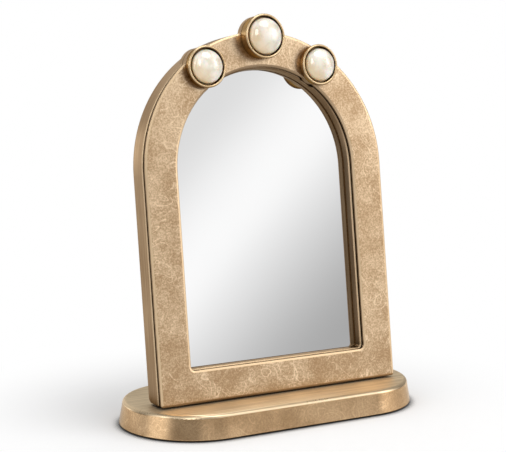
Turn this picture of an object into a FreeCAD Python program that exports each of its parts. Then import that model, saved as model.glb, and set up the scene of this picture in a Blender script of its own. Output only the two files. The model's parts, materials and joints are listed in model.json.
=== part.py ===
import FreeCAD, Part
import math
import os
from collections import namedtuple

from FreeCAD import Placement, Rotation, Vector

# Arched table mirror, leaning back on a weighted pill-shaped base.
# Millimetres and degrees. The origin is on the floor under the middle of the base,
# +X is to the viewer's right, +Y to the back and +Z up.
# Frame pieces are drawn upright in the frame's own plane: X across, Y back from the
# front face, Z up from the front lower edge. They are then leaned back on to the base.

# Frame outline
frame_width = 200.0
spring_height = 165.0
band_width = 25.5
rail_height = 23.3
foot_corner = 1.8
opening_corner = 3.5
frame_lean = 7.7

# Frame layers
plate_thickness = 2.0
plate_bevel_width = 1.5
plate_bevel_drop = 0.5
groove_width = 3.2
groove_recess = 3.0
rear_thickness = 15.3
rear_bevel = 0.7
collar_gap = 1.4
collar_width = 2.6
collar_clearance = 1.2
back_rim_round = 1.0
heel_round = 4.5

# Glass and what is packed behind it
lip_setback = 8.7
opening_step = 1.0
opening_flare = 0.7
seal_thickness = 1.3
seal_setback = 0.2
glass_thickness = 4.0
foam_thickness = 2.5
rebate_width = 5.0
rebate_corner = 2.0
pack_clearance = 0.4

# Crown: three ears, each with a turned cup and a pearl
crown_angle = 32.7
center_inset = 4.3
side_inset = 11.4
center_rim_radius = 16.4
side_rim_radius = 15.3
rim_overhang = 0.8
rim_width = 1.9
bezel_slope = 0.2
bezel_drop = 0.5
ear_margin = 0.3
ear_depth = 4.7
ear_clearance = 0.3
lobe_depth = 10.0
center_cup_height = 9.6
side_cup_height = 6.0
cup_well = 3.2
pearl_gap = 0.9
pearl_girdle = 1.5
pearl_back_bevel = 0.5
pearl_dome_share = 0.6
pearl_shoulder_share = 0.42

# Where the frame stands on the base
frame_setback = 33.8
frame_gap = 1.2

# Base
base_length = 236.0
base_depth = 109.5
base_height = 18.3
base_draft = 3.0
base_edge_round = 3.0
base_lip_round = 0.8
base_lift = 0.8
base_wall = 4.0
base_top_wall = 4.0
felt_thickness = 1.6
felt_inset = 1.5
cover_thickness = 2.0
cover_clearance = 0.3
cover_boss_radius = 4.5
cover_boss_inset = 10.0
ballast_end_margin = 28.0
ballast_side_margin = 16.75
ballast_thickness = 5.0
ballast_drop = 3.5
ballast_boss_radius = 4.5
ballast_boss_x = 32.0
ballast_boss_inset = 12.0
ballast_hole_radius = 8.0

# Tilt hinges
hinge_inset = 40.0
pivot_depth = 11.5
pivot_height = 7.5
eye_radius = 3.8
ear_plate = 5.0
neck_width = 6.0
flange_radius = 8.0
flange_thickness = 2.5
flange_clearance = 0.2
hinge_boss_radius = 10.0
hinge_boss_drop = 3.3
stud_radius = 3.0
stud_length = 11.0
stud_nut_across = 10.0
stud_nut_height = 4.0
stud_washer_radius = 6.5
stud_washer_thickness = 1.2
pin_radius = 2.0
pin_head_radius = 3.5
pin_head_height = 2.5
pin_nut_across = 7.0
pin_nut_height = 3.2
pin_end = 0.8
washer_thickness = 1.0
running_clearance = 0.05
bore_clearance = 0.05
cheek_thickness = 6.0
block_clearance = 0.2
block_foot = 3.2
block_screw_height = 12.2
pocket_front_wall = 1.7
pocket_back_wall = 3.0
pocket_roof = 15.2
pocket_side_room = 1.0
slot_head_room = 0.5

# Fasteners
screw_radius = 1.5
screw_clearance = 0.05
screw_tip_gap = 0.3
screw_head_radius = 2.75
screw_head_height = 2.0
head_clearance = 0.35
head_sink = 1.5
socket_across = 2.5
socket_depth = 1.1
sunk_socket_across = 2.0
slot_width = 0.8
slot_depth = 0.8
post_radius = 3.5
post_depth = 10.0
post_clearance = 0.25
post_skin = 1.0
cup_screw_reach = 2.2
block_screw_reach = 6.0
cover_screw_reach = 6.0
ballast_screw_reach = 3.5
side_post_shares = (0.2, 0.65)
arch_post_shares = (0.5, 1.9)
rail_post_share = 0.13
rail_line_share = 0.45

# Turn buttons on the back
button_big_radius = 5.0
button_tip_radius = 3.0
button_reach = 15.0
button_thickness = 1.5
shoulder_radius = 2.0
button_head_radius = 3.6
button_head_height = 1.8
button_screw_depth = 7.0
button_height_shares = (0.42, 0.88)

# Cuts run past the faces by this much
overrun = 10.0
# Points closer than this are the same point
same_point = 0.001

# Worked out from the sizes above
half_width = frame_width / 2
half_opening = half_width - band_width
lip_reach = opening_step + opening_flare
half_rebate = half_opening + rebate_width
rebate_foot = rail_height - rebate_width
groove_back = plate_thickness + groove_width
collar_front = plate_thickness + collar_gap
frame_depth = groove_back + rear_thickness
glass_front = lip_setback + seal_thickness
glass_back = glass_front + glass_thickness
foam_back = glass_back + foam_thickness
bolt_line = (half_width + half_rebate) / 2
foot_slope = math.tan(math.radians(frame_lean))
frame_front = frame_setback - base_depth / 2
frame_place = Placement(
    Vector(0, frame_front, base_height + frame_gap),
    Rotation(Vector(1, 0, 0), -frame_lean),
)
felt_top = felt_thickness
cover_top = felt_top + cover_thickness
ceiling = base_height - base_top_wall
ballast_top = ceiling - ballast_drop
hinge_boss_foot = ceiling - hinge_boss_drop
ballast_length = base_length - ballast_end_margin * 2
ballast_depth = base_depth - ballast_side_margin * 2
pivot = frame_place.multVec(Vector(0, pivot_depth, pivot_height))
hinge_offset = half_width - hinge_inset
slot_half = ear_plate / 2 + running_clearance + washer_thickness
block_half = slot_half + cheek_thickness
pocket_half = block_half + pin_nut_height + pin_end + pocket_side_room
pocket_front = groove_back + pocket_front_wall
pocket_back = frame_depth - pocket_back_wall
cup_screw_seat = ear_depth - screw_head_height - head_clearance
head_seat = frame_depth - screw_head_height - head_sink
button_front = frame_depth + running_clearance
button_back = button_front + button_thickness
hinge_sides = {"left": -1, "right": 1}
CrownPlace = namedtuple("CrownPlace", "name spot rim cup_height")

across = Vector(1, 0, 0)
back = Vector(0, 1, 0)
up = Vector(0, 0, 1)
down = Vector(0, 0, -1)


def crown_places():
    """Where the three cups sit along the arch, with the sizes that differ between them."""
    places = []
    for name, side in (("left", -1), ("center", 0), ("right", 1)):
        inset = side_inset if side else center_inset
        rim = side_rim_radius if side else center_rim_radius
        cup_height = side_cup_height if side else center_cup_height
        turn = math.radians(side * crown_angle)
        reach = half_width - inset
        spot = Vector(reach * math.sin(turn), 0, spring_height + reach * math.cos(turn))
        places.append(CrownPlace(name, spot, rim, cup_height))
    return places


def post_places():
    """Where the screw posts stand: up the sides, round the arch and along the rail."""
    places = []
    for side in (-1, 1):
        for share in side_post_shares:
            places.append(Vector(side * bolt_line, 0, share * spring_height))
        for share in arch_post_shares:
            turn = math.radians(side * share * crown_angle)
            arch_point = Vector(math.sin(turn), 0, math.cos(turn)) * bolt_line
            places.append(arch_point + Vector(0, 0, spring_height))
        places.append(Vector(side * rail_post_share * frame_width, 0, rail_line_share * rail_height))
    return places


def button_places():
    """Name, place and pointing angle of the turn buttons, each aimed at the back panel."""
    low, high = (share * spring_height for share in button_height_shares)
    return [
        ("left_low", Vector(-bolt_line, 0, low), 0),
        ("left_high", Vector(-bolt_line, 0, high), 0),
        ("right_low", Vector(bolt_line, 0, low), 180),
        ("right_high", Vector(bolt_line, 0, high), 180),
        ("top", Vector(0, 0, spring_height + bolt_line), -90),
        ("bottom", Vector(0, 0, rail_line_share * rail_height), 90),
    ]


def rod(radius, start, direction, length):
    return Part.makeCylinder(radius, length, start, direction)


def ring(outer, inner, start, direction, length):
    return rod(outer, start, direction, length).cut(rod(inner, start, direction, length))


def hex_bar(across_flats, start, direction, height):
    """Hexagonal prism whose lower face is centred on start."""
    radius = across_flats / math.sqrt(3)
    corners = []
    for corner in range(7):
        turn = math.radians(60 * corner)
        corners.append(Vector(radius * math.cos(turn), radius * math.sin(turn), 0))
    bar = Part.Face(Part.makePolygon(corners)).extrude(Vector(0, 0, height))
    bar.Placement = Placement(start, Rotation(up, direction))
    return bar


def hex_nut(across_flats, bore, start, direction, height):
    nut = hex_bar(across_flats, start, direction, height)
    return nut.cut(rod(bore, start, direction, height))


def pan_screw(seat, direction, reach):
    """Socket screw with its head sitting on seat and a shank running reach along direction."""
    head = rod(screw_head_radius, seat, direction * -1, screw_head_height)
    screw = head.fuse(rod(screw_radius, seat, direction, reach)).removeSplitter()
    socket = seat - direction * (screw_head_height - socket_depth)
    return screw.cut(hex_bar(socket_across, socket, direction * -1, screw_head_height))


def sunk_head(mouth, direction, extra):
    """Cone of a countersunk head, wide end on mouth."""
    drop = screw_head_radius - screw_radius
    return Part.makeCone(screw_head_radius + extra, screw_radius + extra, drop, mouth, direction)


def sunk_screw(mouth, direction, reach):
    """Countersunk socket screw, flush with mouth."""
    shank = rod(screw_radius, mouth, direction, reach)
    screw = sunk_head(mouth, direction, 0).fuse(shank).removeSplitter()
    return screw.cut(hex_bar(sunk_socket_across, mouth, direction, socket_depth))


def sunk_hole(mouth, direction, reach):
    """What a countersunk screw needs cut away."""
    hole = rod(screw_radius + screw_clearance, mouth, direction, reach)
    return hole.fuse(sunk_head(mouth, direction, screw_clearance))


def arc_about(center, radius, start_angle, end_angle):
    """Arc in the XZ plane, anticlockwise seen from the front."""
    points = []
    for turn in (start_angle, (start_angle + end_angle) / 2, end_angle):
        angle = math.radians(turn)
        points.append(center + Vector(math.cos(angle), 0, math.sin(angle)) * radius)
    return Part.Arc(*points)


def arch_wire(half, foot, corner, depth):
    """Arched outline: straight sides under a half circle, lower corners rounded if asked."""
    crown = Vector(0, 0, spring_height + half)
    arch = Part.Arc(Vector(half, 0, spring_height), crown, Vector(-half, 0, spring_height))
    corners = [Vector(-half, 0, foot), Vector(half, 0, foot)]
    inner_left = corners[0] + across * corner
    inner_right = corners[1] - across * corner
    rise = up * corner
    curves = [Part.LineSegment(inner_left, inner_right)]
    if corner:
        curves.append(arc_about(inner_right + rise, corner, -90, 0))
    curves.append(Part.LineSegment(corners[1] + rise, arch.StartPoint))
    curves.append(arch)
    curves.append(Part.LineSegment(arch.EndPoint, corners[0] + rise))
    if corner:
        curves.append(arc_about(inner_left + rise, corner, 180, 270))
    wire = Part.Wire([curve.toShape() for curve in curves])
    wire.translate(back * depth)
    return wire


def arch_slab(half, foot, corner, front, rear):
    """Arched slab between two depths."""
    return Part.Face(arch_wire(half, foot, corner, front)).extrude(back * (rear - front))


def opening_outline(draw, depth):
    """Outline of the opening, drawn in by this much all round."""
    return arch_wire(half_opening - draw, rail_height + draw, opening_corner - draw, depth)


def flared_opening():
    """Hole through the rear body that draws in from the collar to the rebate's lip."""
    outlines = []
    for depth in (collar_front - rear_bevel, lip_setback + rear_bevel):
        draw = opening_step + opening_flare * (depth - collar_front) / (lip_setback - collar_front)
        outlines.append(opening_outline(draw, depth))
    return Part.makeLoft(outlines, True, True)


def opening_bevel(draw, depth, width, drop):
    """What a bevel takes off the front edge of an opening drawn in by draw."""
    wide = opening_outline(draw - width * 2, depth - drop)
    narrow = opening_outline(draw + width, depth + drop * 2)
    return Part.makeLoft([wide, narrow], True, True)


def foot_trim(rise):
    """Everything under the frame's foot: level in use, rounded up into the back face."""
    lean = math.radians(frame_lean)
    along = Vector(0, math.cos(lean), math.sin(lean))
    heel = Vector(0, frame_depth, frame_depth * foot_slope + rise)
    tangent = heel_round / math.tan((math.pi / 2 + lean) / 2)
    foot_end = heel - along * tangent
    back_start = heel + up * tangent
    center = back_start - back * heel_round
    middle = center + (heel - center).normalize() * heel_round
    front_start = Vector(0, -overrun, rise - overrun * foot_slope)
    beyond = Vector(0, frame_depth + overrun, back_start.z)
    deep = up * (-overrun - overrun)
    curves = [
        Part.LineSegment(front_start, foot_end),
        Part.Arc(foot_end, middle, back_start),
        Part.LineSegment(back_start, beyond),
        Part.LineSegment(beyond, beyond + deep - up * beyond.z),
        Part.LineSegment(beyond + deep - up * beyond.z, front_start + deep - up * front_start.z),
        Part.LineSegment(front_start + deep - up * front_start.z, front_start),
    ]
    face = Part.Face(Part.Wire([curve.toShape() for curve in curves]))
    face.translate(across * (-half_width - overrun))
    return face.extrude(across * (frame_width + overrun + overrun))


def edges_at_depth(shape, depth):
    """Edges that lie wholly in the plane at this depth."""
    chosen = []
    for edge in shape.Edges:
        box = edge.BoundBox
        if abs(box.YMin - depth) < same_point and abs(box.YMax - depth) < same_point:
            chosen.append(edge)
    return chosen


def foot_corner_edges(shape, half):
    """Edges that run back along the two lower corners of a frame layer."""
    chosen = []
    for edge in shape.Edges:
        box = edge.BoundBox
        on_side = abs(abs(box.XMin) - half) < same_point and box.XLength < same_point
        if on_side and box.YLength > same_point and box.ZMax < rail_height:
            chosen.append(edge)
    return chosen


def front_frame():
    """Bevelled arched plate with three round ears at the crown and screw posts behind."""
    plate = arch_slab(half_width, -overrun, 0, 0, plate_thickness).cut(foot_trim(0))
    plate = plate.makeFillet(foot_corner, foot_corner_edges(plate, half_width))
    plate = plate.makeChamfer(plate_bevel_drop, plate_bevel_width, edges_at_depth(plate, 0))
    plate = plate.cut(arch_slab(half_opening, rail_height, opening_corner, -overrun, frame_depth))
    plate = plate.cut(opening_bevel(0, 0, plate_bevel_width, plate_bevel_drop))
    for place in crown_places():
        plate = plate.fuse(rod(ear_radius(place), place.spot, back, ear_depth))
    for spot in post_places():
        start = spot + back * plate_thickness
        plate = plate.fuse(rod(post_radius, start, back, post_depth - plate_thickness))
    plate = plate.removeSplitter()
    hole = screw_radius + screw_clearance
    for spot in post_places():
        start = spot + back * (plate_thickness + post_skin)
        plate = plate.cut(rod(hole, start, back, post_depth))
    for place in crown_places():
        plate = plate.cut(rod(hole, place.spot - back * overrun, back, overrun + ear_depth))
        seat = place.spot + back * cup_screw_seat
        plate = plate.cut(rod(screw_head_radius + head_clearance, seat, back, ear_depth))
    return plate


def ear_radius(place):
    return place.rim - rim_overhang + ear_margin


def rear_lobe(place):
    """Lobe of the rear body behind a side ear, on the outer half of the band only."""
    start = place.spot + back * groove_back
    lobe = rod(ear_radius(place), start, back, lobe_depth - groove_back)
    return lobe.cut(arch_slab(bolt_line, rail_height, 0, 0, frame_depth))


def crown_sector():
    """Wedge of the arch from one side ear's axis to the other's."""
    turn = math.radians(crown_angle)
    center = Vector(0, -overrun, spring_height)
    ray = Vector(math.sin(turn), 0, math.cos(turn)) * frame_width
    other_ray = Vector(-ray.x, 0, ray.z)
    wedge = Part.Face(Part.makePolygon([center, center + ray, center + other_ray, center]))
    return wedge.extrude(back * (frame_depth + overrun))


def sight_collar():
    """Collar round the opening that reaches forward almost to the plate, broken at the side ears."""
    collar = arch_slab(half_opening + collar_width, rail_height - collar_width, opening_corner,
                       collar_front, groove_back)
    for place in crown_places():
        collar = collar.cut(rod(ear_radius(place) + collar_clearance, place.spot, back, groove_back))
    return collar


def groove_gasket():
    """Dark spacer between plate and rear body, set back from both edges to leave a groove."""
    outer = arch_slab(half_width - groove_recess, -overrun, 0, plate_thickness, groove_back)
    gasket = outer.cut(foot_trim(groove_recess))
    foot = rail_height - groove_recess
    gasket = gasket.cut(arch_slab(half_opening + groove_recess, foot, opening_corner, 0, frame_depth))
    for place in crown_places():
        gasket = gasket.cut(rod(ear_radius(place) + ear_clearance, place.spot, back, frame_depth))
    for spot in post_places():
        gasket = gasket.cut(rod(post_radius + post_clearance, spot, back, frame_depth))
    return gasket


def frame_gasket():
    """The long strip, up both sides as far as the side ears and along the rail."""
    return groove_gasket().cut(crown_sector())


def crown_gasket():
    """The short strip between the two side ears."""
    return groove_gasket().common(crown_sector())


def rear_frame():
    """Deep rear body with a collar round the opening, the glass rebate, hinge pockets and fixings."""
    body = arch_slab(half_width, -overrun, 0, groove_back, frame_depth).cut(foot_trim(0))
    rim_edges = foot_corner_edges(body, half_width)
    rim_edges += [edge for edge in edges_at_depth(body, frame_depth) if not is_heel_line(edge)]
    body = body.makeFillet(back_rim_round, rim_edges)
    body = body.makeChamfer(rear_bevel, edges_at_depth(body, groove_back))
    body = body.fuse(sight_collar()).removeSplitter().cut(flared_opening())
    body = body.cut(opening_bevel(opening_step, collar_front, rear_bevel, rear_bevel))
    for place in crown_places():
        if place.spot.x:
            body = body.fuse(rear_lobe(place)).removeSplitter()
    rebate = arch_slab(half_rebate, rebate_foot, rebate_corner, lip_setback, frame_depth + overrun)
    body = body.cut(rebate)
    for spot in post_places():
        body = body.cut(rod(post_radius + post_clearance, spot, back, post_depth + post_clearance))
        body = body.cut(rod(screw_radius + screw_clearance, spot, back, frame_depth))
        sink = rod(screw_head_radius + head_clearance, spot + back * head_seat, back, frame_depth)
        body = body.cut(sink)
    for name, spot, angle in button_places():
        start = spot + back * (frame_depth - button_screw_depth - screw_tip_gap)
        body = body.cut(rod(screw_radius + screw_clearance, start, back, frame_depth))
    for side in hinge_sides.values():
        body = body.cut(hinge_pocket(side))
        for spot in block_screw_places(side):
            body = body.cut(sunk_hole(spot, back * -1, pocket_back_wall + block_screw_reach))
    return body


def is_heel_line(edge):
    """True for the straight line where the rounded heel runs out into the back face."""
    return edge.BoundBox.ZLength < same_point


def hinge_pocket(side):
    """Pocket in the bottom rail, open below, that takes one hinge block."""
    corner = Vector(side * hinge_offset - pocket_half, pocket_front, -overrun)
    depth = pocket_back - pocket_front
    return Part.makeBox(pocket_half + pocket_half, depth, pocket_roof + overrun, corner)


def block_screw_places(side):
    """Centres, on the back face, of the two screws that hold one hinge block."""
    middle = side * hinge_offset
    offset = slot_half + cheek_thickness / 2
    return [Vector(middle + sign * offset, frame_depth, block_screw_height) for sign in (-1, 1)]


def hinge_block(side):
    """Slotted block in the rail pocket; its cheeks carry the tilt pin."""
    middle = side * hinge_offset
    front = pocket_front + block_clearance
    height = pocket_roof - block_clearance - block_foot
    corner = Vector(middle - block_half, front, block_foot)
    block = Part.makeBox(block_half + block_half, pocket_back - front, height, corner)
    slot_top = pivot_height + eye_radius + slot_head_room
    slot_corner = Vector(middle - slot_half, front - overrun, -overrun)
    slot = Part.makeBox(slot_half + slot_half, frame_depth + overrun, slot_top + overrun, slot_corner)
    block = block.cut(slot)
    start = Vector(middle - block_half - overrun, pivot_depth, pivot_height)
    block = block.cut(rod(pin_radius + bore_clearance, start, across, block_half * 2 + overrun * 2))
    for spot in block_screw_places(side):
        reach = pocket_back_wall + block_screw_reach + screw_tip_gap
        block = block.cut(rod(screw_radius + screw_clearance, spot, back * -1, reach))
    return block


def hinge_pin(side):
    """Headed tilt pin through block, washers and ear, its head to the outer side."""
    outward = across * side
    middle = Vector(side * hinge_offset, pivot_depth, pivot_height)
    head_start = middle + outward * block_half
    head = rod(pin_head_radius, head_start, outward, pin_head_height)
    length = block_half * 2 + pin_nut_height + pin_end
    return head.fuse(rod(pin_radius, head_start, outward * -1, length)).removeSplitter()


def hinge_pin_nuts():
    """Lock nuts that clamp the cheeks on to the friction washers."""
    nuts = []
    for side in hinge_sides.values():
        middle = Vector(side * hinge_offset, pivot_depth, pivot_height)
        start = middle - across * side * block_half
        bore = pin_radius + bore_clearance
        nuts.append(hex_nut(pin_nut_across, bore, start, across * -side, pin_nut_height))
    return nuts


def friction_washers():
    """One washer between each cheek and the ear."""
    washers = []
    for side in hinge_sides.values():
        for face in (-1, 1):
            distance = side * hinge_offset + face * slot_half
            start = Vector(distance, pivot_depth, pivot_height)
            bore = pin_radius + bore_clearance
            washers.append(ring(eye_radius, bore, start, across * -face, washer_thickness))
    return washers


def hinge_ear(side):
    """Upright eye on a round flange let into the base, with a stud below."""
    foot = Vector(side * hinge_offset, pivot.y, base_height)
    eye_start = Vector(foot.x - ear_plate / 2, pivot.y, pivot.z)
    eye = rod(eye_radius, eye_start, across, ear_plate)
    neck_corner = Vector(eye_start.x, pivot.y - neck_width / 2, base_height - flange_thickness / 2)
    neck = Part.makeBox(ear_plate, neck_width, pivot.z - neck_corner.z, neck_corner)
    flange = rod(flange_radius, foot, down, flange_thickness)
    stud = rod(stud_radius, foot, down, flange_thickness + stud_length)
    ear = eye.multiFuse([neck, flange, stud]).removeSplitter()
    bore = rod(pin_radius + bore_clearance, eye_start - across * overrun, across, ear_plate + overrun * 2)
    return ear.cut(bore)


def stud_washers():
    washers = []
    for side in hinge_sides.values():
        start = Vector(side * hinge_offset, pivot.y, hinge_boss_foot)
        bore = stud_radius + bore_clearance
        washers.append(ring(stud_washer_radius, bore, start, down, stud_washer_thickness))
    return washers


def stud_nuts():
    nuts = []
    for side in hinge_sides.values():
        height = hinge_boss_foot - stud_washer_thickness
        start = Vector(side * hinge_offset, pivot.y, height)
        nuts.append(hex_nut(stud_nut_across, stud_radius + bore_clearance, start, down, stud_nut_height))
    return nuts


def well_radius(place):
    return place.rim - rim_width - bezel_slope


def cup(place):
    """Turned bezel cup: wall flaring into a rolled rim that drops to the pearl's well."""
    wall = place.rim - rim_overhang
    lip = rim_width / 2
    neck = place.cup_height - rim_width
    floor = place.cup_height - cup_well
    rolled = arc_about(Vector(place.rim - lip, 0, place.cup_height - lip), lip, 0, 180)
    slope_foot = rolled.EndPoint - across * bezel_slope - up * bezel_drop
    corners = [
        rolled.EndPoint,
        slope_foot,
        Vector(slope_foot.x, 0, floor),
        Vector(0, 0, floor),
        Vector(0, 0, 0),
        Vector(wall, 0, 0),
        Vector(wall, 0, neck),
        rolled.StartPoint,
    ]
    outline = [Part.LineSegment(*ends) for ends in zip(corners, corners[1:])]
    turned = turn_outline([rolled] + outline)
    hole_depth = cup_screw_reach + screw_tip_gap
    turned = turned.cut(rod(screw_radius + screw_clearance, Vector(0, 0, 0), up, hole_depth))
    return face_forward(turned, place.spot)


def pearl(place):
    """Half-pearl: flat back, short girdle, tight shoulder running into a broad crown."""
    cup_floor = place.cup_height - cup_well
    radius = well_radius(place) - pearl_gap
    dome = radius * pearl_dome_share
    turn_radius = radius * pearl_shoulder_share
    inner = radius - turn_radius
    crown_radius = (inner ** 2 + dome ** 2 - turn_radius ** 2) / (2 * (dome - turn_radius))
    girdle_top = cup_floor + pearl_girdle
    shoulder_center = Vector(inner, 0, girdle_top)
    crown_center = Vector(0, 0, girdle_top + dome - crown_radius)
    meeting = math.degrees(math.atan2(shoulder_center.z - crown_center.z, inner))
    flat = Vector(radius - pearl_back_bevel, 0, cup_floor)
    edge = Vector(radius, 0, cup_floor + pearl_back_bevel)
    shoulder = arc_about(shoulder_center, turn_radius, 0, meeting)
    crown = arc_about(crown_center, crown_radius, meeting, 90)
    axis_top = Vector(0, 0, girdle_top + dome)
    axis_foot = Vector(0, 0, cup_floor)
    outline = [
        Part.LineSegment(axis_foot, flat),
        Part.LineSegment(flat, edge),
        Part.LineSegment(edge, shoulder.StartPoint),
        shoulder,
        crown,
        Part.LineSegment(axis_top, axis_foot),
    ]
    return face_forward(turn_outline(outline), place.spot)


def turn_outline(outline):
    """Solid of revolution about Z of a closed outline drawn in the XZ plane."""
    face = Part.Face(Part.Wire([curve.toShape() for curve in outline]))
    return face.revolve(Vector(0, 0, 0), up, 360)


def face_forward(shape, spot):
    """Stand a turned piece on the front face at spot, its axis pointing forward."""
    shape.Placement = Placement(spot, Rotation(across, 90))
    return shape


def cup_screws():
    """One screw per cup, driven from the back of its ear."""
    reach = cup_screw_seat + cup_screw_reach
    return [pan_screw(place.spot + back * cup_screw_seat, back * -1, reach) for place in crown_places()]


def frame_screws():
    """Screws that pull the front plate's posts into the rear body."""
    reach = head_seat - plate_thickness - post_skin - screw_tip_gap
    return [pan_screw(spot + back * head_seat, back * -1, reach) for spot in post_places()]


def hinge_block_screws():
    screws = []
    for side in hinge_sides.values():
        for spot in block_screw_places(side):
            screws.append(sunk_screw(spot, back * -1, pocket_back_wall + block_screw_reach))
    return screws


def packed_slab(front, rear):
    """A sheet of the glass sandwich, cut to drop into the rebate."""
    half = half_rebate - pack_clearance
    return arch_slab(half, rebate_foot + pack_clearance, rebate_corner, front, rear)


def glass_gasket():
    """Black seal between the rebate's lip and the glass, a hair behind the lip's edge."""
    draw = lip_reach - seal_setback
    hole = arch_slab(half_opening - draw, rail_height + draw, opening_corner - draw, 0, frame_depth)
    return packed_slab(lip_setback, glass_front).cut(hole)


def turn_button(spot, angle):
    """Pear-shaped plate that swings off the back panel."""
    spread = math.acos((button_big_radius - button_tip_radius) / button_reach)
    start = Vector(math.cos(spread), 0, math.sin(spread))
    mirror_start = Vector(start.x, 0, -start.z)
    tip = across * button_reach
    big = [start * button_big_radius, across * -button_big_radius, mirror_start * button_big_radius]
    small = [tip + mirror_start * button_tip_radius, tip + across * button_tip_radius,
             tip + start * button_tip_radius]
    curves = [
        Part.Arc(*big),
        Part.LineSegment(big[2], small[0]),
        Part.Arc(*small),
        Part.LineSegment(small[2], big[0]),
    ]
    face = Part.Face(Part.Wire([curve.toShape() for curve in curves]))
    plate = face.extrude(Vector(0, button_thickness, 0))
    plate = plate.cut(rod(shoulder_radius + bore_clearance, Vector(0, 0, 0), back, button_thickness))
    plate.Placement = Placement(spot + back * button_front, Rotation(back, -angle))
    return plate


def turn_button_screws():
    """Shoulder screws that the turn buttons swing on."""
    screws = []
    for name, spot, angle in button_places():
        face = spot + back * frame_depth
        shoulder = rod(shoulder_radius, face, back, button_back + running_clearance - frame_depth)
        shank = rod(screw_radius, face, back * -1, button_screw_depth)
        head_start = spot + back * (button_back + running_clearance)
        head = rod(button_head_radius, head_start, back, button_head_height)
        crown_edge = edges_at_depth(head, head_start.y + button_head_height)
        head = head.makeFillet(button_head_height / 2, crown_edge)
        screw = head.multiFuse([shoulder, shank]).removeSplitter()
        screws.append(screw.cut(screw_slot(head_start + back * (button_head_height - slot_depth))))
    return screws


def screw_slot(floor):
    """Straight slot for a driver, its floor centred on this point."""
    reach = button_head_radius + overrun
    corner = floor - across * reach - up * (slot_width / 2)
    return Part.makeBox(reach + reach, slot_depth + overrun, slot_width, corner)


def pill(length, depth, low, high, draft):
    """Pill-shaped block whose sides draw in by draft from low to high."""
    radius = depth / 2
    offset = length / 2 - radius
    height = high - low
    ends = [Part.makeCone(radius, radius - draft, height, Vector(side * offset, 0, low))
            if draft else rod(radius, Vector(side * offset, 0, low), up, height) for side in (-1, 1)]
    corners = [
        Vector(-offset, -radius, low),
        Vector(-offset, radius, low),
        Vector(-offset, radius - draft, high),
        Vector(-offset, draft - radius, high),
    ]
    middle = Part.Face(Part.makePolygon(corners + corners[:1])).extrude(across * (offset * 2))
    return middle.multiFuse(ends).removeSplitter()


def edges_at_height(shape, height):
    chosen = []
    for edge in shape.Edges:
        box = edge.BoundBox
        if abs(box.ZMin - height) < same_point and abs(box.ZMax - height) < same_point:
            chosen.append(edge)
    return chosen


def draft_at(height):
    """How far the base's sides have drawn in at this height."""
    return base_draft * (height - base_lift) / (base_height - base_lift)


def cavity(low, high):
    """Space inside the base casting between two heights."""
    inset = base_wall + draft_at(low)
    draft = draft_at(high) - draft_at(low)
    return pill(base_length - inset * 2, base_depth - inset * 2, low, high, draft)


def cover_boss_places():
    """Screw bosses round the base's underside: four along the sides and one at each end."""
    long = base_length / 2 - cover_boss_inset
    short = base_depth / 2 - cover_boss_inset
    straight = (base_length - base_depth) / 2
    spots = [Vector(side * long, 0, 0) for side in (-1, 1)]
    spots += [Vector(side * straight, face * short, 0) for side in (-1, 1) for face in (-1, 1)]
    return spots


def ballast_boss_places():
    reach = ballast_depth / 2 - ballast_boss_inset
    return [Vector(side * ballast_boss_x, face * reach, 0) for side in (-1, 1) for face in (-1, 1)]


def base_casting():
    """Hollow drafted pill with a rounded top edge, screw bosses and seats for the hinge ears."""
    body = pill(base_length, base_depth, base_lift, base_height, base_draft)
    body = body.makeFillet(base_edge_round, edges_at_height(body, base_height))
    body = body.makeFillet(base_lip_round, edges_at_height(body, base_lift))
    body = body.cut(cavity(base_lift - overrun, ceiling))
    bosses = [rod(cover_boss_radius, spot + up * cover_top, up, ceiling - cover_top + base_top_wall / 2)
              for spot in cover_boss_places()]
    bosses += [rod(ballast_boss_radius, spot + up * ballast_top, up, ballast_drop + base_top_wall / 2)
               for spot in ballast_boss_places()]
    ears = [Vector(side * hinge_offset, pivot.y, 0) for side in hinge_sides.values()]
    bosses += [rod(hinge_boss_radius, spot + up * hinge_boss_foot, up, hinge_boss_drop + base_top_wall / 2)
               for spot in ears]
    body = body.multiFuse(bosses).removeSplitter()
    hole = screw_radius + screw_clearance
    for spot in cover_boss_places():
        body = body.cut(rod(hole, spot, up, cover_top + cover_screw_reach + screw_tip_gap))
    for spot in ballast_boss_places():
        body = body.cut(rod(hole, spot, up, ballast_top + ballast_screw_reach + screw_tip_gap))
    for spot in ears:
        body = body.cut(rod(stud_radius + bore_clearance, spot, up, base_height))
        seat = spot + up * (base_height - flange_thickness)
        body = body.cut(rod(flange_radius + flange_clearance, seat, up, base_height))
    return body


def ballast_plate():
    """Steel weight hung under the casting, with holes that clear the hinge nuts."""
    plate = pill(ballast_length, ballast_depth, ballast_top - ballast_thickness, ballast_top, 0)
    for side in hinge_sides.values():
        spot = Vector(side * hinge_offset, pivot.y, 0)
        plate = plate.cut(rod(ballast_hole_radius, spot, up, base_height))
    for spot in ballast_boss_places():
        plate = plate.cut(rod(screw_radius + screw_clearance, spot, up, base_height))
    return plate


def ballast_screws():
    seat = up * (ballast_top - ballast_thickness)
    reach = ballast_thickness + ballast_screw_reach
    return [pan_screw(spot + seat, up, reach) for spot in ballast_boss_places()]


def bottom_plate():
    """Sheet that closes the base, countersunk for its screws."""
    inset = base_wall + draft_at(cover_top) + cover_clearance
    plate = pill(base_length - inset * 2, base_depth - inset * 2, felt_top, cover_top, 0)
    for spot in cover_boss_places():
        plate = plate.cut(sunk_hole(spot + up * felt_top, up, cover_thickness + overrun))
    return plate


def bottom_plate_screws():
    reach = cover_thickness + cover_screw_reach
    return [sunk_screw(spot + up * felt_top, up, reach) for spot in cover_boss_places()]


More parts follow.
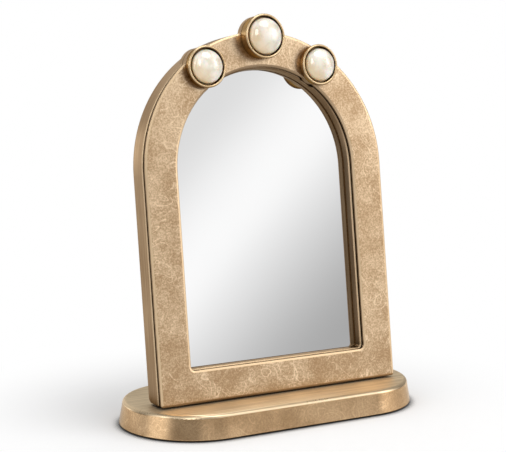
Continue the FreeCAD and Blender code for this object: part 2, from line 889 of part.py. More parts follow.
def felt_pad():
    """Felt glued under the bottom plate; the mirror stands on it."""
    inset = base_wall + draft_at(cover_top) + cover_clearance + felt_inset
    return pill(base_length - inset * 2, base_depth - inset * 2, 0, felt_top, 0)


def save(name, shape):
    shape.exportStep(os.path.join("parts", name + ".step"))


def save_group(name, shapes):
    save(name, Part.makeCompound(shapes))


def lean(shape):
    """Move a piece from the frame's own plane to where it stands on the base."""
    shape.Placement = frame_place.multiply(shape.Placement)
    return shape


def lean_all(shapes):
    return [lean(shape) for shape in shapes]


def save_base():
    save("base_casting", base_casting())
    save("ballast_plate", ballast_plate())
    save_group("ballast_screws", ballast_screws())
    save("bottom_plate", bottom_plate())
    save_group("bottom_plate_screws", bottom_plate_screws())
    save("felt_pad", felt_pad())
    for name, side in hinge_sides.items():
        save("hinge_ear_" + name, hinge_ear(side))
    save_group("stud_washers", stud_washers())
    save_group("stud_nuts", stud_nuts())


def save_frame():
    save("front_frame", lean(front_frame()))
    save("frame_gasket", lean(frame_gasket()))
    save("crown_gasket", lean(crown_gasket()))
    save("rear_frame", lean(rear_frame()))
    save_group("frame_screws", lean_all(frame_screws()))
    save("glass_gasket", lean(glass_gasket()))
    save("mirror_glass", lean(packed_slab(glass_front, glass_back)))
    save("foam_backer", lean(packed_slab(glass_back, foam_back)))
    save("back_panel", lean(packed_slab(foam_back, frame_depth)))


def save_crown():
    for place in crown_places():
        save("cup_" + place.name, lean(cup(place)))
        save("pearl_" + place.name, lean(pearl(place)))
    save_group("cup_screws", lean_all(cup_screws()))


def save_hinges():
    for name, side in hinge_sides.items():
        save("hinge_block_" + name, lean(hinge_block(side)))
        save("hinge_pin_" + name, lean(hinge_pin(side)))
    save_group("hinge_pin_nuts", lean_all(hinge_pin_nuts()))
    save_group("friction_washers", lean_all(friction_washers()))
    save_group("hinge_block_screws", lean_all(hinge_block_screws()))


def save_buttons():
    for name, spot, angle in button_places():
        save("turn_button_" + name, lean(turn_button(spot, angle)))
    save_group("turn_button_screws", lean_all(turn_button_screws()))


os.makedirs("parts", exist_ok=True)
save_base()
save_frame()
save_crown()
save_hinges()
save_buttons()
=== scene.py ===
import json
import math
from typing import NamedTuple

import bmesh
import bpy
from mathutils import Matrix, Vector


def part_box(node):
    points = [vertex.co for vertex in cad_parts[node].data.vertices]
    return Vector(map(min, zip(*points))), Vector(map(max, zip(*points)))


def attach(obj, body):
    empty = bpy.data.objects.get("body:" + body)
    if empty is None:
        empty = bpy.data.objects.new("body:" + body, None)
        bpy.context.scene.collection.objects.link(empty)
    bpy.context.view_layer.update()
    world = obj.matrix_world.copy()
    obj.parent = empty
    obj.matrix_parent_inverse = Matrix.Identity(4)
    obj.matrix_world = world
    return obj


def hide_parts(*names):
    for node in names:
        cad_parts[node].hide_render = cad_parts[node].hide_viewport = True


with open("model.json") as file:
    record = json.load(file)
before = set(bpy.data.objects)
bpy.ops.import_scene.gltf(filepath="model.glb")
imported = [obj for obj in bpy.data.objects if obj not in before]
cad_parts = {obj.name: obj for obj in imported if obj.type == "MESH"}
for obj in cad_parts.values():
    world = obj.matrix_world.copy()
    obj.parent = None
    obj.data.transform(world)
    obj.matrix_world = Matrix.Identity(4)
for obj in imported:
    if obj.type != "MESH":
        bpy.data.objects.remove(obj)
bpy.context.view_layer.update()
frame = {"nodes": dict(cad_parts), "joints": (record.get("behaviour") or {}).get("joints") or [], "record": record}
nodes = frame["nodes"]

# Lengths are in metres, angles in degrees, colours linear.
# Azimuth 0 is straight in front of the mirror, and a positive one lies to the viewer's right.
right = Vector((1, 0, 0))
back = Vector((0, 1, 0))
up = Vector((0, 0, 1))

# The leaning frame's own directions: a turn button's axis points out of the frame's back.
button_axis = next(joint["axis"] for joint in frame["joints"] if joint["name"] == "button_top_turn")
front = -Vector(button_axis).normalized()
frame_up = front.cross(right)

# Camera, fitted to the photo: the focal length is in its pixels, the sensor in millimetres.
photo_width = 506
focal_pixels = 1466
sensor_width = 36.0
camera_aim = Vector((-0.0135, 0.0, 0.1408))
camera_azimuth = -30.22
camera_elevation = 7.85
camera_distance = 1.076

# Lamps: azimuth, elevation, distance, width, height, power in watts
lamp_aim = Vector((0.0, 0.0, 0.15))
lamps = {
    "key": (25, 66, 1.3, 0.8, 0.8, 5.0),
    "left_strip": (-80, 24, 1.4, 0.12, 0.5, 0.9),
    "right_strip": (57, 22, 1.4, 0.3, 0.6, 1.2),
    "front_box": (-32, 31, 1.4, 0.35, 0.7, 2.4),
}

# Room light: an even level, tall panels (azimuth, half width of the core, half width with the soft edge,
# lowest and highest elevation, strength) and round glows (azimuth, elevation, radius of the core, radius
# with the soft edge, strength)
room_level = 0.3
room_panels = [
    (58, 10, 26, 0, 45, 0.95),
    (-84, 10, 26, 0, 50, 0.9),
]
room_glows = [
    (25, 12, 8, 36, 0.25),
    (42, 32, 8, 34, 0.6),
    (150, 25, 15, 45, 0.25),
    (0, 90, 20, 70, 0.15),
    (-165, 12, 15, 40, 0.45),
    (-153, 4, 3, 12, 1.3),
    (58, 2, 10, 20, 0.6),
    (-88, 2, 8, 20, 0.3),
    (-7, 10, 6, 16, 0.35),
]
panel_low_fade = 10  # soft edge below a panel
panel_high_fade = 15  # soft edge above it
panel_ahead_zone = (0.0, 0.2)  # cosines that leave out the opposite side of the room

# The part of the room that the glass mirrors to the camera: a round patch with a slanting gradient
patch_glow = (30.5, 9, 8, 13, 1.0)
patch_middle = (30, 10)  # azimuth and elevation
slant_sideways = 9.72  # rise of the slant per radian sideways
slant_upward = -10.5  # and upwards
slant_shift = 0.283
lower_slants = (-0.15, 1.983)  # between which the light falls off towards the lower corner
lower_lights = (1.187, 0.416)
upper_slants = (0.63, -0.553)  # between which it dims towards the upper corner
upper_dimming = 0.415

# Floor and the shadow on it
floor_radius = 2.2
floor_sides = 72
floor_seen = 0.98  # its paint to the eye
floor_bounce = 0.8  # its paint as it lights the object
floor_samples = 8
shadow_reach = 0.08  # of the soft shadow round the base
shadow_zone = (0.15, 0.55)  # openness where it is full and where it ends
contact_shadow_reach = 0.009  # of the painted contact shadow, a dark line along the base
contact_shadow_zone = (0.5, 0.92)
contact_shadow_light = 0.2  # left in that line
plain_zone = (0.11, 0.26)  # distances between which the lit floor gives way to plain white
plain_least = 0.3  # share of plain white at the base
horizon_zone = (0.9, 2.1)  # distances between which its mirror image dims
horizon_dimming = 0.68

# Soft pieces: rings along a pad's edge, as shares of its thickness (inset, place from its first face)
felt_ring_shares = ((0.75, 0.0), (0.25, 0.125), (0.0, 0.375), (0.0, 0.75), (0.25, 1.0))
foam_ring_shares = ((0.4, 0.008), (0.12, 0.16), (0.04, 0.5), (0.12, 0.84), (0.4, 0.992))
pill_steps = 24
arch_steps = 40


def sine(angle):
    """Sine of an angle in degrees."""
    return math.sin(math.radians(angle))


def cosine(angle):
    """Cosine of an angle in degrees."""
    return math.cos(math.radians(angle))


def direction(azimuth, elevation):
    """Unit vector from the object towards this side."""
    level = cosine(elevation)
    return Vector((sine(azimuth) * level, -cosine(azimuth) * level, sine(elevation)))


def colour(red, green, blue):
    """Opaque colour."""
    return (red, green, blue, 1.0)


def grey(level):
    """Opaque neutral colour."""
    return colour(level, level, level)


def new_object(name, data):
    """Object for this data, in the scene."""
    made = bpy.data.objects.new(name, data)
    bpy.context.scene.collection.objects.link(made)
    return made


def look_from(made, aim, azimuth, elevation, distance):
    """Put a lamp or camera on one side of a point, looking at it."""
    side = direction(azimuth, elevation)
    made.location = aim + side * distance
    made.rotation_euler = side.to_track_quat("Z", "Y").to_euler()


# Node helpers

noise_zone = (0.3, 0.7)  # where nearly all values of a noise lie
relief_depth = 0.0002  # height of full relief
surface_samples = 6


def plug(tree, socket, value):
    """Link a socket to another one, or set it to a constant."""
    if isinstance(value, bpy.types.NodeSocket):
        tree.links.new(value, socket)
    else:
        socket.default_value = value


def add(tree, kind, inputs=(), **settings):
    """New node with its settings, and its inputs given as (name or number, value)."""
    made = tree.nodes.new("ShaderNode" + kind)
    for name, value in settings.items():
        setattr(made, name, value)
    for key, value in inputs:
        plug(tree, made.inputs[key], value)
    return made


def calc(tree, operation, first, second=0.0):
    """Sum, product or the like of two numbers."""
    return add(tree, "Math", [(0, first), (1, second)], operation=operation).outputs[0]


def dot(tree, vector, axis):
    """Length of a vector along an axis."""
    return add(tree, "VectorMath", [(0, vector), (1, axis)], operation="DOT_PRODUCT").outputs["Value"]


def remap(tree, value, start, end, low=0.0, high=1.0):
    """Smooth step from low at start to high at end."""
    inputs = [("Value", value), ("From Min", start), ("From Max", end), ("To Min", low), ("To Max", high)]
    return add(tree, "MapRange", inputs, interpolation_type="SMOOTHSTEP").outputs[0]


def noise(tree, place, scale, detail=2.0, distortion=0.0):
    """Cloudy noise, its scale in waves per metre."""
    inputs = [("Vector", place), ("Scale", scale), ("Detail", detail), ("Distortion", distortion)]
    return add(tree, "TexNoise", inputs).outputs[0]


def mix(tree, share, first, second):
    """Mix of two numbers."""
    return add(tree, "Mix", [(0, share), (2, first), (3, second)], data_type="FLOAT").outputs[0]


def blend(tree, share, first, second):
    """Mix of two colours."""
    return add(tree, "Mix", [(0, share), (6, first), (7, second)], data_type="RGBA").outputs[2]


def stretched(tree, place, scales):
    """Coordinates scaled by a different amount along each axis."""
    return add(tree, "VectorMath", [(0, place), (1, scales)], operation="MULTIPLY").outputs[0]


def own_axes(tree, place, depth_axis, height_axis):
    """Coordinates along X, a height direction and a depth direction."""
    made = tree.nodes.new("ShaderNodeCombineXYZ")
    for number, axis in enumerate((right, height_axis, depth_axis)):
        plug(tree, made.inputs[number], dot(tree, place, axis))
    return made.outputs[0]


def openness(tree, reach, samples):
    """Share of the view from a point that nothing within reach blocks."""
    return add(tree, "AmbientOcclusion", [("Distance", reach)], samples=samples).outputs["AO"]


def new_material(name, constants):
    """Material with a shader whose constants are set, and its node tree."""
    material = bpy.data.materials.new(name)
    material.use_nodes = True
    tree = material.node_tree
    surface = tree.nodes["Principled BSDF"]
    for key, value in constants.items():
        surface.inputs[key].default_value = value
    return material, tree, surface


def finish_surface(tree, surface, base, roughness, height=None, relief=0.0, rounding=0.0):
    """Colour, roughness and relief of a surface, its sharp edges softened by the rounding radius."""
    plug(tree, surface.inputs["Base Color"], base)
    plug(tree, surface.inputs["Roughness"], roughness)
    if height is not None:
        inputs = [("Height", height), ("Strength", relief), ("Distance", relief_depth)]
        if rounding:
            softened = add(tree, "Bevel", [("Radius", rounding)], samples=surface_samples)
            inputs.append(("Normal", softened.outputs[0]))
        plug(tree, surface.inputs["Normal"], add(tree, "Bump", inputs).outputs[0])


# Bronze castings

# Zones of faces, as cosines of the angle to the depth axis
flat_zone = (0.97, 0.985)
wall_zone = (0.22, 0.4)

# Zones of faces, as cosines of the angle to straight up
upward_zone = (-0.15, 0.08)
# faces that look down take painted shade
under_shade_zone = (-0.05, -0.45)

# Heights along the leaning frame between which the painted shade and light change
leaf_foot_heights = (0.03, 0.08)
leaf_crown_heights = (0.2, 0.28)
wall_foot_heights = (0.02, 0.17)
under_shade_heights = (0.04, 0.1)

# What the leaf gains in painted light at the crown and the walls lose in painted shade at the foot, in terms of
# what the leaf loses at the foot
crown_gain = 0.5
wall_loss = 5.0

# Dark patina and painted shade in hollows, and painted shade on faces that look down
groove_tone = colour(0.085, 0.046, 0.018)
under_shade_tone = colour(0.1, 0.06, 0.028)
under_shade_most = 0.7

# Tones between which the leaf's colour changes, and the roughness of leaf and brushing
leaf_zone = (0.05, 0.9)
rough_zone = (0.1, 0.9)


class BronzeLook(NamedTuple):
    """Finish of a bronze casting. Tones and roughnesses go from the darkest to the lightest patina."""
    depth_axis: Vector  # faces square to it are the flat ones
    height_axis: Vector  # second direction of the pattern, along which the painted shade and light change
    leaf_on_flat: bool  # leaf on the flat faces and brushing on the walls, or the other way round
    leaf_tones: tuple
    leaf_rough: tuple
    grit: float  # strength of the leaf's fine grain
    veining: float  # strength of the leaf's pale veins
    brushed_tones: tuple
    brushed_rough: tuple
    brushing_scales: tuple  # along X, height and depth
    # lighter tone of the edges: wear and a painted highlight
    edge_wear_and_highlight_tone: tuple
    edge_rough: float  # added to the roughness along the edges
    groove: tuple  # reach of the dark patina and painted shade in hollows, openness where it is full and where it ends
    grazing: tuple  # tint of what reflects at a grazing angle
    relief: float
    rounding: float
    height_shading: float  # painted shade darkening towards the foot and painted light at the crown, none where it is zero


plate_look = BronzeLook(
    depth_axis=front,
    height_axis=frame_up,
    leaf_on_flat=True,
    leaf_tones=(colour(0.42, 0.264, 0.138), colour(0.99, 0.76, 0.51)),
    leaf_rough=(0.36, 0.28),
    grit=0.28,
    veining=0.3,
    brushed_tones=(colour(0.28, 0.185, 0.107), colour(0.46, 0.325, 0.203)),
    brushed_rough=(0.36, 0.3),
    brushing_scales=(22.0, 22.0, 1700.0),
    edge_wear_and_highlight_tone=colour(0.74, 0.55, 0.345),
    edge_rough=0.1,
    groove=(0.004, 0.25, 0.95),
    grazing=colour(0.92, 0.8, 0.66),
    relief=0.12,
    rounding=0.001,
    height_shading=0.1,
)
# the rear frame's hollows take dark patina and painted shade from farther off
rear_look = plate_look._replace(groove=(0.018, 0.3, 0.95))
base_look = BronzeLook(
    depth_axis=up,
    height_axis=back,
    leaf_on_flat=False,
    leaf_tones=(colour(0.37, 0.224, 0.11), colour(0.86, 0.6, 0.35)),
    leaf_rough=(0.22, 0.17),
    grit=0.12,
    veining=0.17,
    brushed_tones=(colour(0.55, 0.43, 0.278), colour(0.87, 0.72, 0.505)),
    brushed_rough=(0.56, 0.48),
    brushing_scales=(18.0, 900.0, 18.0),
    edge_wear_and_highlight_tone=colour(0.66, 0.51, 0.33),
    edge_rough=0.08,
    groove=(0.002, 0.45, 0.82),
    grazing=colour(0.99, 0.92, 0.81),
    relief=0.05,
    rounding=0.0,
    height_shading=0.0,
)


def thin_lines(tree, waves, width):
    """Thin lines where a value from 0 to 1 crosses its middle."""
    middle = 0.5
    return remap(tree, calc(tree, "ABSOLUTE", calc(tree, "SUBTRACT", waves, middle)), width, 0.0)


def squiggles(tree, place):
    """Squiggly single lines."""
    return thin_lines(tree, noise(tree, place, scale=170.0, detail=0.0, distortion=2.5), width=0.03)


def contours(tree, place):
    """Nested lines, like the height lines of a map."""
    levels = 12.0
    hills = calc(tree, "MULTIPLY", noise(tree, place, scale=40.0, detail=1.0, distortion=0.8), levels)
    return thin_lines(tree, calc(tree, "FRACT", hills), width=0.13)


def leaf_tone(tree, place, grit, veining):
    """Patina like worn metal leaf: faint clouds, nested and squiggly pale veins in patches, fine grain."""
    cloud_tones = (0.1, 0.34)
    patch_zone = (0.4, 0.62)
    squiggle_share = 0.6
    grain_tone = 0.15
    clouds = remap(tree, noise(tree, place, scale=45.0, detail=3.0), *noise_zone, *cloud_tones)
    patches = remap(tree, noise(tree, place, scale=50.0), *patch_zone)
    nested = calc(tree, "MULTIPLY", contours(tree, place), patches)
    single = calc(tree, "MULTIPLY", squiggles(tree, place), squiggle_share)
    veins = calc(tree, "MULTIPLY", calc(tree, "MAXIMUM", nested, single), veining)
    fine = noise(tree, place, scale=800.0, detail=3.0)
    grain = remap(tree, fine, *noise_zone, grain_tone - grit / 2, grain_tone + grit / 2)
    return calc(tree, "ADD", calc(tree, "ADD", clouds, veins), grain)


def brushed_tone(tree, place, scales):
    """Fine brushing, long along one direction, over broad clouds."""
    fine_share = 0.6
    fine = noise(tree, stretched(tree, place, scales), scale=1.0, detail=3.0)
    broad = noise(tree, place, scale=22.0)
    return remap(tree, mix(tree, fine_share, broad, fine), *noise_zone)


def paint_light_by_height(tree, leaf, brushed, height, height_shading):
    """Painted shade and light on the frame: darker towards the foot, and the leaf lighter at the crown."""
    foot = remap(tree, height, *leaf_foot_heights, -height_shading, 0.0)
    crown = remap(tree, height, *leaf_crown_heights, 0.0, height_shading * crown_gain)
    wall_foot = remap(tree, height, *wall_foot_heights, -height_shading * wall_loss, 0.0)
    leaf = calc(tree, "ADD", calc(tree, "ADD", leaf, foot), crown)
    return leaf, calc(tree, "ADD", brushed, wall_foot)


def worn_and_highlit_edge(tree, facing, upward):
    """Share of wear and painted highlight: full between the flat faces and the walls, none on faces that look
    down.
    """
    flat_start, flat_full = flat_zone
    off_flat = remap(tree, facing, flat_full, flat_start)
    between = calc(tree, "MULTIPLY", off_flat, remap(tree, facing, *wall_zone))
    return calc(tree, "MULTIPLY", between, remap(tree, upward, *upward_zone))


def shade_painted_under(tree, base, upward, height):
    """Painted shade on faces that look down, apart from the frame's foot."""
    looks_down = remap(tree, upward, *under_shade_zone, 0.0, under_shade_most)
    share = calc(tree, "MULTIPLY", looks_down, remap(tree, height, *under_shade_heights))
    return blend(tree, share, base, under_shade_tone)


def patina_and_shade_in_hollows(tree, base, reach, full_at, ends_at, dark=groove_tone):
    """Dark patina and painted shade left in corners and grooves."""
    clear = remap(tree, openness(tree, reach, surface_samples), full_at, ends_at)
    return blend(tree, clear, dark, base)


def bronze(name, look):
    """Champagne bronze: leaf patina on one set of faces, brushing on the other, worn edges with a painted
    highlight between, and dark patina with painted shade in hollows.
    """
    material, tree, surface = new_material(name, {"Metallic": 1.0, "Specular Tint": look.grazing})
    coordinates = tree.nodes.new("ShaderNodeTexCoord")
    place = own_axes(tree, coordinates.outputs["Object"], look.depth_axis, look.height_axis)
    height = dot(tree, coordinates.outputs["Object"], look.height_axis)
    facing = dot(tree, coordinates.outputs["Normal"], look.depth_axis)
    upward = dot(tree, coordinates.outputs["Normal"], up)
    leaf = leaf_tone(tree, place, look.grit, look.veining)
    brushed = brushed_tone(tree, place, look.brushing_scales)
    # painted shade towards the foot and painted light at the crown
    if look.height_shading:
        leaf, brushed = paint_light_by_height(tree, leaf, brushed, height, look.height_shading)
    flat = remap(tree, facing, *flat_zone)
    leaf_share = flat if look.leaf_on_flat else calc(tree, "SUBTRACT", 1.0, flat)
    edge = worn_and_highlit_edge(tree, facing, upward)

    leaf_colour = blend(tree, remap(tree, leaf, *leaf_zone), *look.leaf_tones)
    base = blend(tree, leaf_share, blend(tree, brushed, *look.brushed_tones), leaf_colour)
    # worn edges with a painted highlight
    base = blend(tree, edge, base, look.edge_wear_and_highlight_tone)
    # painted shade on faces that look down
    if look.height_shading:
        base = shade_painted_under(tree, base, upward, height)
    # dark patina and painted shade in corners and grooves
    base = patina_and_shade_in_hollows(tree, base, *look.groove)

    leaf_rough = remap(tree, leaf, *rough_zone, *look.leaf_rough)
    brushed_rough = remap(tree, brushed, *rough_zone, *look.brushed_rough)
    rough = mix(tree, leaf_share, brushed_rough, leaf_rough)
    rough = calc(tree, "ADD", rough, calc(tree, "MULTIPLY", edge, look.edge_rough))
    relief_height = mix(tree, leaf_share, brushed, leaf)
    finish_surface(tree, surface, base, rough, relief_height, look.relief, look.rounding)
    return material


# Cups, pearls, glass and plain stock

def polished_bronze():
    """Turned cups: the same metal, bright on the face, with painted shade on the flank, at the back and
    underneath, dark patina and painted shade in hollows, and faint turning marks.
    """
    face_tones = (colour(0.56, 0.39, 0.21), colour(0.82, 0.62, 0.385))
    shaded_flank = colour(0.40, 0.27, 0.142)
    # dark tone for painted shade at the back, underneath and in hollows
    dark = colour(0.12, 0.066, 0.026)
    turning_scales = (60.0, 60.0, 2200.0)
    flank_zone = (0.25, 0.6)
    rear_shade_zone = (0.0, -0.4)
    down_shade_zone = (0.0, -0.5)
    down_shade_most = 0.8
    groove = (0.007, 0.2, 0.68)
    rough = (0.22, 0.3)
    constants = {"Metallic": 1.0, "Specular Tint": colour(0.85, 0.65, 0.42)}
    material, tree, surface = new_material("polished_bronze", constants)
    coordinates = tree.nodes.new("ShaderNodeTexCoord")
    place = own_axes(tree, coordinates.outputs["Object"], front, frame_up)
    facing = dot(tree, coordinates.outputs["Normal"], front)
    upward = dot(tree, coordinates.outputs["Normal"], up)
    marks = noise(tree, stretched(tree, place, turning_scales), scale=1.0, detail=3.0)
    base = blend(tree, remap(tree, marks, *noise_zone), *face_tones)
    # painted shade on the flank, at the back and underneath
    base = blend(tree, remap(tree, facing, *flank_zone), shaded_flank, base)
    base = blend(tree, remap(tree, facing, *rear_shade_zone), base, dark)
    base = blend(tree, remap(tree, upward, *down_shade_zone, 0.0, down_shade_most), base, dark)
    # dark patina and painted shade in the cup's hollows
    base = patina_and_shade_in_hollows(tree, base, *groove, dark)
    turned_rough = remap(tree, marks, *noise_zone, *rough)
    finish_surface(tree, surface, base, turned_rough, marks, relief=0.1, rounding=0.0006)
    return material


def pearl():
    """Ivory with cloudy swirls under a clear lustre, warm on its lower left side from a painted reflection of the
    gold bezel, with painted shade and reflection in the hollow where it meets the cup.
    """
    body_tones = (colour(0.72, 0.64, 0.50), colour(0.92, 0.87, 0.78))
    body_zone = (0.36, 0.62)
    cloud_share = 0.15
    rim_reflection_side = Vector((-0.75, -0.1, -0.65))
    painted_rim_reflection = colour(0.82, 0.60, 0.31)
    rim_reflection_zone = (0.0, 0.65)
    rim_reflection_most = 0.75
    rim_shade_and_reflection_tones = (colour(0.1, 0.05, 0.015), colour(0.6, 0.4, 0.17))
    rim_shade_and_reflection_zone = (-0.3, 0.3)
    rim_groove = (0.003, 0.25, 0.75)
    rough = (0.24, 0.36)
    material, tree, surface = new_material("pearl", {
        "Specular IOR Level": 0.6,
        "Coat Weight": 1.0,
        "Coat IOR": 1.8,
        "Coat Roughness": 0.1,
        "Subsurface Weight": 0.25,
        "Subsurface Scale": 0.003,
    })
    coordinates = tree.nodes.new("ShaderNodeTexCoord")
    place = coordinates.outputs["Object"]
    swirl = noise(tree, place, scale=85.0, detail=1.0, distortion=0.4)
    clouds = noise(tree, place, scale=170.0, detail=1.0, distortion=0.3)
    low = dot(tree, coordinates.outputs["Normal"], rim_reflection_side)
    base = blend(tree, remap(tree, mix(tree, cloud_share, swirl, clouds), *body_zone), *body_tones)
    # painted reflection of the gold bezel on the lower left side
    base = blend(tree, remap(tree, low, *rim_reflection_zone, 0.0, rim_reflection_most), base, painted_rim_reflection)
    # painted shade and painted reflection where the pearl sinks into the cup: dark at the upper right, golden at
    # the lower left
    rim = blend(tree, remap(tree, low, *rim_shade_and_reflection_zone), *rim_shade_and_reflection_tones)
    base = patina_and_shade_in_hollows(tree, base, *rim_groove, rim)
    finish_surface(tree, surface, base, remap(tree, clouds, *noise_zone, *rough))
    return material


def mirror():
    """Silvered glass, with the least haze in its polish."""
    tones = (colour(0.915, 0.915, 0.917), colour(0.95, 0.95, 0.952))
    rough = (0.0, 0.012)
    material, tree, surface = new_material("mirror", {"Metallic": 1.0})
    place = tree.nodes.new("ShaderNodeTexCoord").outputs["Object"]
    haze = noise(tree, place, scale=12.0)
    finish_surface(tree, surface, blend(tree, haze, *tones), remap(tree, haze, *noise_zone, *rough))
    return material


def grained(name, dark, light, scale, rough, metallic=0.0, shine=0.5):
    """Plain matt or satin stock with a fine grain."""
    constants = {"Metallic": metallic, "Specular IOR Level": shine}
    material, tree, surface = new_material(name, constants)
    place = tree.nodes.new("ShaderNodeTexCoord").outputs["Object"]
    grain = noise(tree, place, scale, detail=4.0)
    base = blend(tree, remap(tree, grain, *noise_zone), dark, light)
    finish_surface(tree, surface, base, remap(tree, grain, *noise_zone, *rough), grain, relief=0.2)
    return material


def dress(material, *names):
    """Give CAD nodes a material."""
    for name in names:
        mesh = nodes[name].data
        mesh.materials.clear()
        mesh.materials.append(material)


def dress_slot(material, slot):
    """Give a material to all the CAD nodes that the record lists under a slot."""
    dress(material, *[part["node"] for part in frame["record"]["subparts"] if part["material_slot"] == slot])


def dress_stock(slot, *tones, **finish):
    """Make the plain stock of a slot, and dress its nodes."""
    dress_slot(grained(slot, *tones, **finish), slot)


# Soft pieces

def pill_loop(half_length, radius, height):
    """Pill-shaped ring of points, level at this height."""
    loop = []
    for side in (1, -1):
        center = side * (half_length - radius)
        for step in range(pill_steps + 1):
            turn = 180 * step / pill_steps - 90 * side
            loop.append(Vector((center + radius * cosine(turn), radius * sine(turn), height)))
    return loop


def arch_loop(half_width, foot, spring, place):
    """Arched ring of points, square to the frame's front direction and at this place along it."""
    outline = [(-half_width, foot), (half_width, foot)]
    for step in range(arch_steps + 1):
        turn = 180 * step / arch_steps
        outline.append((half_width * cosine(turn), spring + half_width * sine(turn)))
    return [right * across + frame_up * height + front * place for across, height in outline]


def extent(node, axis):
    """Lowest and highest place of a CAD node along an axis."""
    places = [vertex.co.dot(axis) for vertex in nodes[node].data.vertices]
    return min(places), max(places)


def layered(name, loops, material):
    """Closed piece skinned over rings of points, first to last."""
    mesh = bmesh.new()
    rings = [[mesh.verts.new(point) for point in loop] for loop in loops]
    for low, high in zip(rings, rings[1:]):
        for step in range(len(low)):
            after = (step + 1) % len(low)
            mesh.faces.new((low[step], low[after], high[after], high[step]))
    mesh.faces.new(rings[0][::-1])
    mesh.faces.new(rings[-1])
    bmesh.ops.recalc_face_normals(mesh, faces=mesh.faces)
    data = bpy.data.meshes.new(name)
    mesh.to_mesh(data)
    mesh.free()
    data.materials.append(material)
    return new_object(name, data)


def soft_pad(name, loops, material, node, body):
    """Pad that stands for a CAD node and moves with its body."""
    made = layered(name, loops, material)
    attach(made, body)
    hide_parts(node)


def build_felt(material):
    """Pressed felt under the base, its edges crushed round."""
    lowest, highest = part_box("felt_pad")
    thickness = highest.z - lowest.z
    loops = []
    for inset_share, height_share in felt_ring_shares:
        inset = inset_share * thickness
        height = lowest.z + height_share * thickness
        loops.append(pill_loop(highest.x - inset, highest.y - inset, height))
    soft_pad("felt_cushion", loops, material, "felt_pad", "base")


def build_foam(material):
    """Foam sheet squeezed between glass and panel, its edge bulging a little."""
    half_width = extent("foam_backer", right)[1]
    foot, crown = extent("foam_backer", frame_up)
    panel_face, glass_face = extent("foam_backer", front)
    thickness = glass_face - panel_face
    spring = crown - half_width
    loops = []
    for inset_share, depth_share in foam_ring_shares:
        inset = inset_share * thickness
        place = glass_face - depth_share * thickness
        loops.append(arch_loop(half_width - inset, foot + inset, spring, place))
    soft_pad("foam_sheet", loops, material, "foam_backer", "mirror_frame")


# World, floor, lamps and camera

def glow(tree, toward, azimuth, elevation, inner, outer, strength):
    """Soft-edged round patch of light."""
    closeness = dot(tree, toward, direction(azimuth, elevation))
    return remap(tree, closeness, cosine(outer), cosine(inner), 0.0, strength)


def panel_light(tree, toward, azimuth, inner, outer, low, high, strength):
    """Tall soft panel of light at this azimuth, between two elevations."""
    aside = calc(tree, "ABSOLUTE", dot(tree, toward, direction(azimuth + 90, 0)))
    rise = dot(tree, toward, up)
    limits = [
        remap(tree, aside, sine(outer), sine(inner)),
        remap(tree, dot(tree, toward, direction(azimuth, 0)), *panel_ahead_zone),
        remap(tree, rise, sine(low - panel_low_fade), sine(low)),
        remap(tree, rise, sine(high + panel_high_fade), sine(high)),
    ]
    light = strength
    for limit in limits:
        light = calc(tree, "MULTIPLY", light, limit)
    return light


def mirror_view(tree, toward):
    """What the glass sees: pale grey at the upper left, white across the middle, grey at the lower right."""
    middle = direction(*patch_middle)
    sideways = up.cross(middle).normalized()
    upward = middle.cross(sideways).normalized()
    slope = dot(tree, toward, sideways * slant_sideways + upward * slant_upward)
    slant = calc(tree, "SUBTRACT", slope, slant_shift)
    lower = remap(tree, slant, *lower_slants, *lower_lights)
    return calc(tree, "SUBTRACT", lower, remap(tree, slant, *upper_slants, 0.0, upper_dimming))


def room_light(tree, toward):
    """Brightness of the room in each direction."""
    lights = [panel_light(tree, toward, *panel) for panel in room_panels]
    lights += [glow(tree, toward, *spot) for spot in room_glows]
    total = room_level
    for light in lights:
        total = calc(tree, "ADD", total, light)
    return mix(tree, glow(tree, toward, *patch_glow), total, mirror_view(tree, toward))


def build_world():
    """White to the eye, and a plain room with soft panels and glows to everything else."""
    world = bpy.data.worlds.new("studio")
    bpy.context.scene.world = world
    world.use_nodes = True
    tree = world.node_tree
    tree.nodes.clear()
    toward = tree.nodes.new("ShaderNodeTexCoord").outputs["Generated"]
    room = add(tree, "Background", [("Color", grey(1.0)), ("Strength", room_light(tree, toward))])
    white = add(tree, "Background", [("Color", grey(1.0)), ("Strength", 1.0)])
    eye = tree.nodes.new("ShaderNodeLightPath").outputs["Is Camera Ray"]
    mixed = add(tree, "MixShader", [(0, eye), (1, room.outputs[0]), (2, white.outputs[0])])
    output = tree.nodes.new("ShaderNodeOutputWorld")
    tree.links.new(mixed.outputs[0], output.inputs[0])


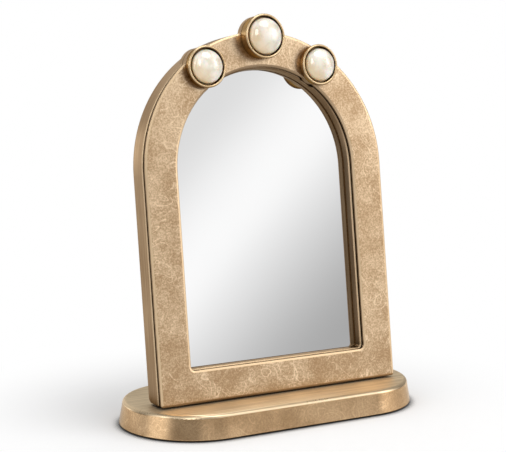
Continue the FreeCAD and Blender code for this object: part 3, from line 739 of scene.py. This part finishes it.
def floor_material():
    """Matt and shaded near the base, with a painted soft shadow and contact shadow, plain white round it, and
    dimmer far off where glass mirrors it.
    """
    material, tree, surface = new_material("floor", {})
    tree.nodes.remove(surface)
    place = tree.nodes.new("ShaderNodeTexCoord").outputs["Object"]
    distance = add(tree, "VectorMath", [(0, place)], operation="LENGTH").outputs["Value"]
    ray = tree.nodes.new("ShaderNodeLightPath")
    mirrored = ray.outputs["Is Glossy Ray"]
    seen = calc(tree, "ADD", ray.outputs["Is Camera Ray"], mirrored)

    # soft shadow painted onto the plain white
    open_sky = openness(tree, shadow_reach, floor_samples)
    shadow = calc(tree, "MULTIPLY", open_sky, remap(tree, open_sky, *shadow_zone))
    contact_shadow = remap(tree, openness(tree, contact_shadow_reach, floor_samples), *contact_shadow_zone, contact_shadow_light, 1.0)

    paint = blend(tree, seen, grey(floor_bounce), grey(floor_seen))
    # painted contact shadow in the matt paint
    matt = add(tree, "BsdfDiffuse", [("Color", blend(tree, contact_shadow, grey(0.0), paint))])

    dimming = remap(tree, distance, *horizon_zone, 0.0, horizon_dimming)
    horizon = calc(tree, "SUBTRACT", 1.0, calc(tree, "MULTIPLY", dimming, mirrored))
    # plain white light with the painted shadow and contact shadow
    light = calc(tree, "MULTIPLY", calc(tree, "MULTIPLY", shadow, contact_shadow), horizon)
    plain = add(tree, "Emission", [("Strength", light)])

    plain_share = calc(tree, "MULTIPLY", remap(tree, distance, *plain_zone, plain_least, 1.0), seen)
    mixed = add(tree, "MixShader", [(0, plain_share), (1, matt.outputs[0]), (2, plain.outputs[0])])
    tree.links.new(mixed.outputs[0], tree.nodes["Material Output"].inputs["Surface"])
    return material


def build_floor():
    """Pale round floor."""
    mesh = bpy.data.meshes.new("floor")
    turns = [360 * step / floor_sides for step in range(floor_sides)]
    rim = [Vector((cosine(turn), sine(turn), 0)) * floor_radius for turn in turns]
    mesh.from_pydata(rim, [], [list(range(floor_sides))])
    mesh.materials.append(floor_material())
    floor = new_object("floor", mesh)


def build_lamp(name, azimuth, elevation, distance, width, height, power):
    """Soft oval lamp that shines at the mirror's middle."""
    data = bpy.data.lights.new(name, "AREA")
    data.shape = "ELLIPSE"
    data.size = width
    data.size_y = height
    data.energy = power
    look_from(new_object(name, data), lamp_aim, azimuth, elevation, distance)


def build_camera():
    """Camera where the photo was taken from."""
    data = bpy.data.cameras.new("camera")
    data.sensor_width = sensor_width
    data.sensor_fit = "HORIZONTAL"
    data.lens = focal_pixels / photo_width * sensor_width
    made = new_object("camera", data)
    look_from(made, camera_aim, camera_azimuth, camera_elevation, camera_distance)
    bpy.context.scene.camera = made


# The mirror's materials and soft pieces

dress(bronze("plate_bronze", plate_look), "front_frame")
dress(bronze("rear_bronze", rear_look), "rear_frame")
dress(bronze("base_bronze", base_look), "base_casting")
dress_slot(polished_bronze(), "polished_bronze")
dress_slot(pearl(), "pearl")
dress_slot(mirror(), "mirror")
dress_stock("black_rubber", colour(0.055, 0.027, 0.009), colour(0.1, 0.05, 0.018),
            scale=900.0, rough=(0.6, 0.8), shine=0.0)
dress_stock("steel", colour(0.45, 0.44, 0.42), colour(0.65, 0.64, 0.62),
            scale=500.0, rough=(0.25, 0.4), metallic=1.0)
dress_stock("panel", colour(0.045, 0.032, 0.024), colour(0.08, 0.06, 0.045),
            scale=700.0, rough=(0.85, 0.98))
dress_stock("ballast_iron", grey(0.06), grey(0.14), scale=250.0, rough=(0.5, 0.7), metallic=1.0)
dress_stock("cover_sheet", grey(0.02), grey(0.04), scale=600.0, rough=(0.5, 0.7))
dress_stock("button_brass", colour(0.42, 0.29, 0.15), colour(0.6, 0.44, 0.25),
            scale=300.0, rough=(0.3, 0.42), metallic=1.0)
build_felt(grained("felt", colour(0.03, 0.026, 0.022), colour(0.06, 0.05, 0.045),
                   scale=900.0, rough=(0.95, 1.0)))
build_foam(grained("foam", grey(0.10), grey(0.15), scale=500.0, rough=(0.9, 1.0)))

# The studio

build_world()
build_floor()
for lamp_name, lamp_values in lamps.items():
    build_lamp(lamp_name, *lamp_values)
build_camera()
bpy.context.scene.view_settings.view_transform = "Standard"
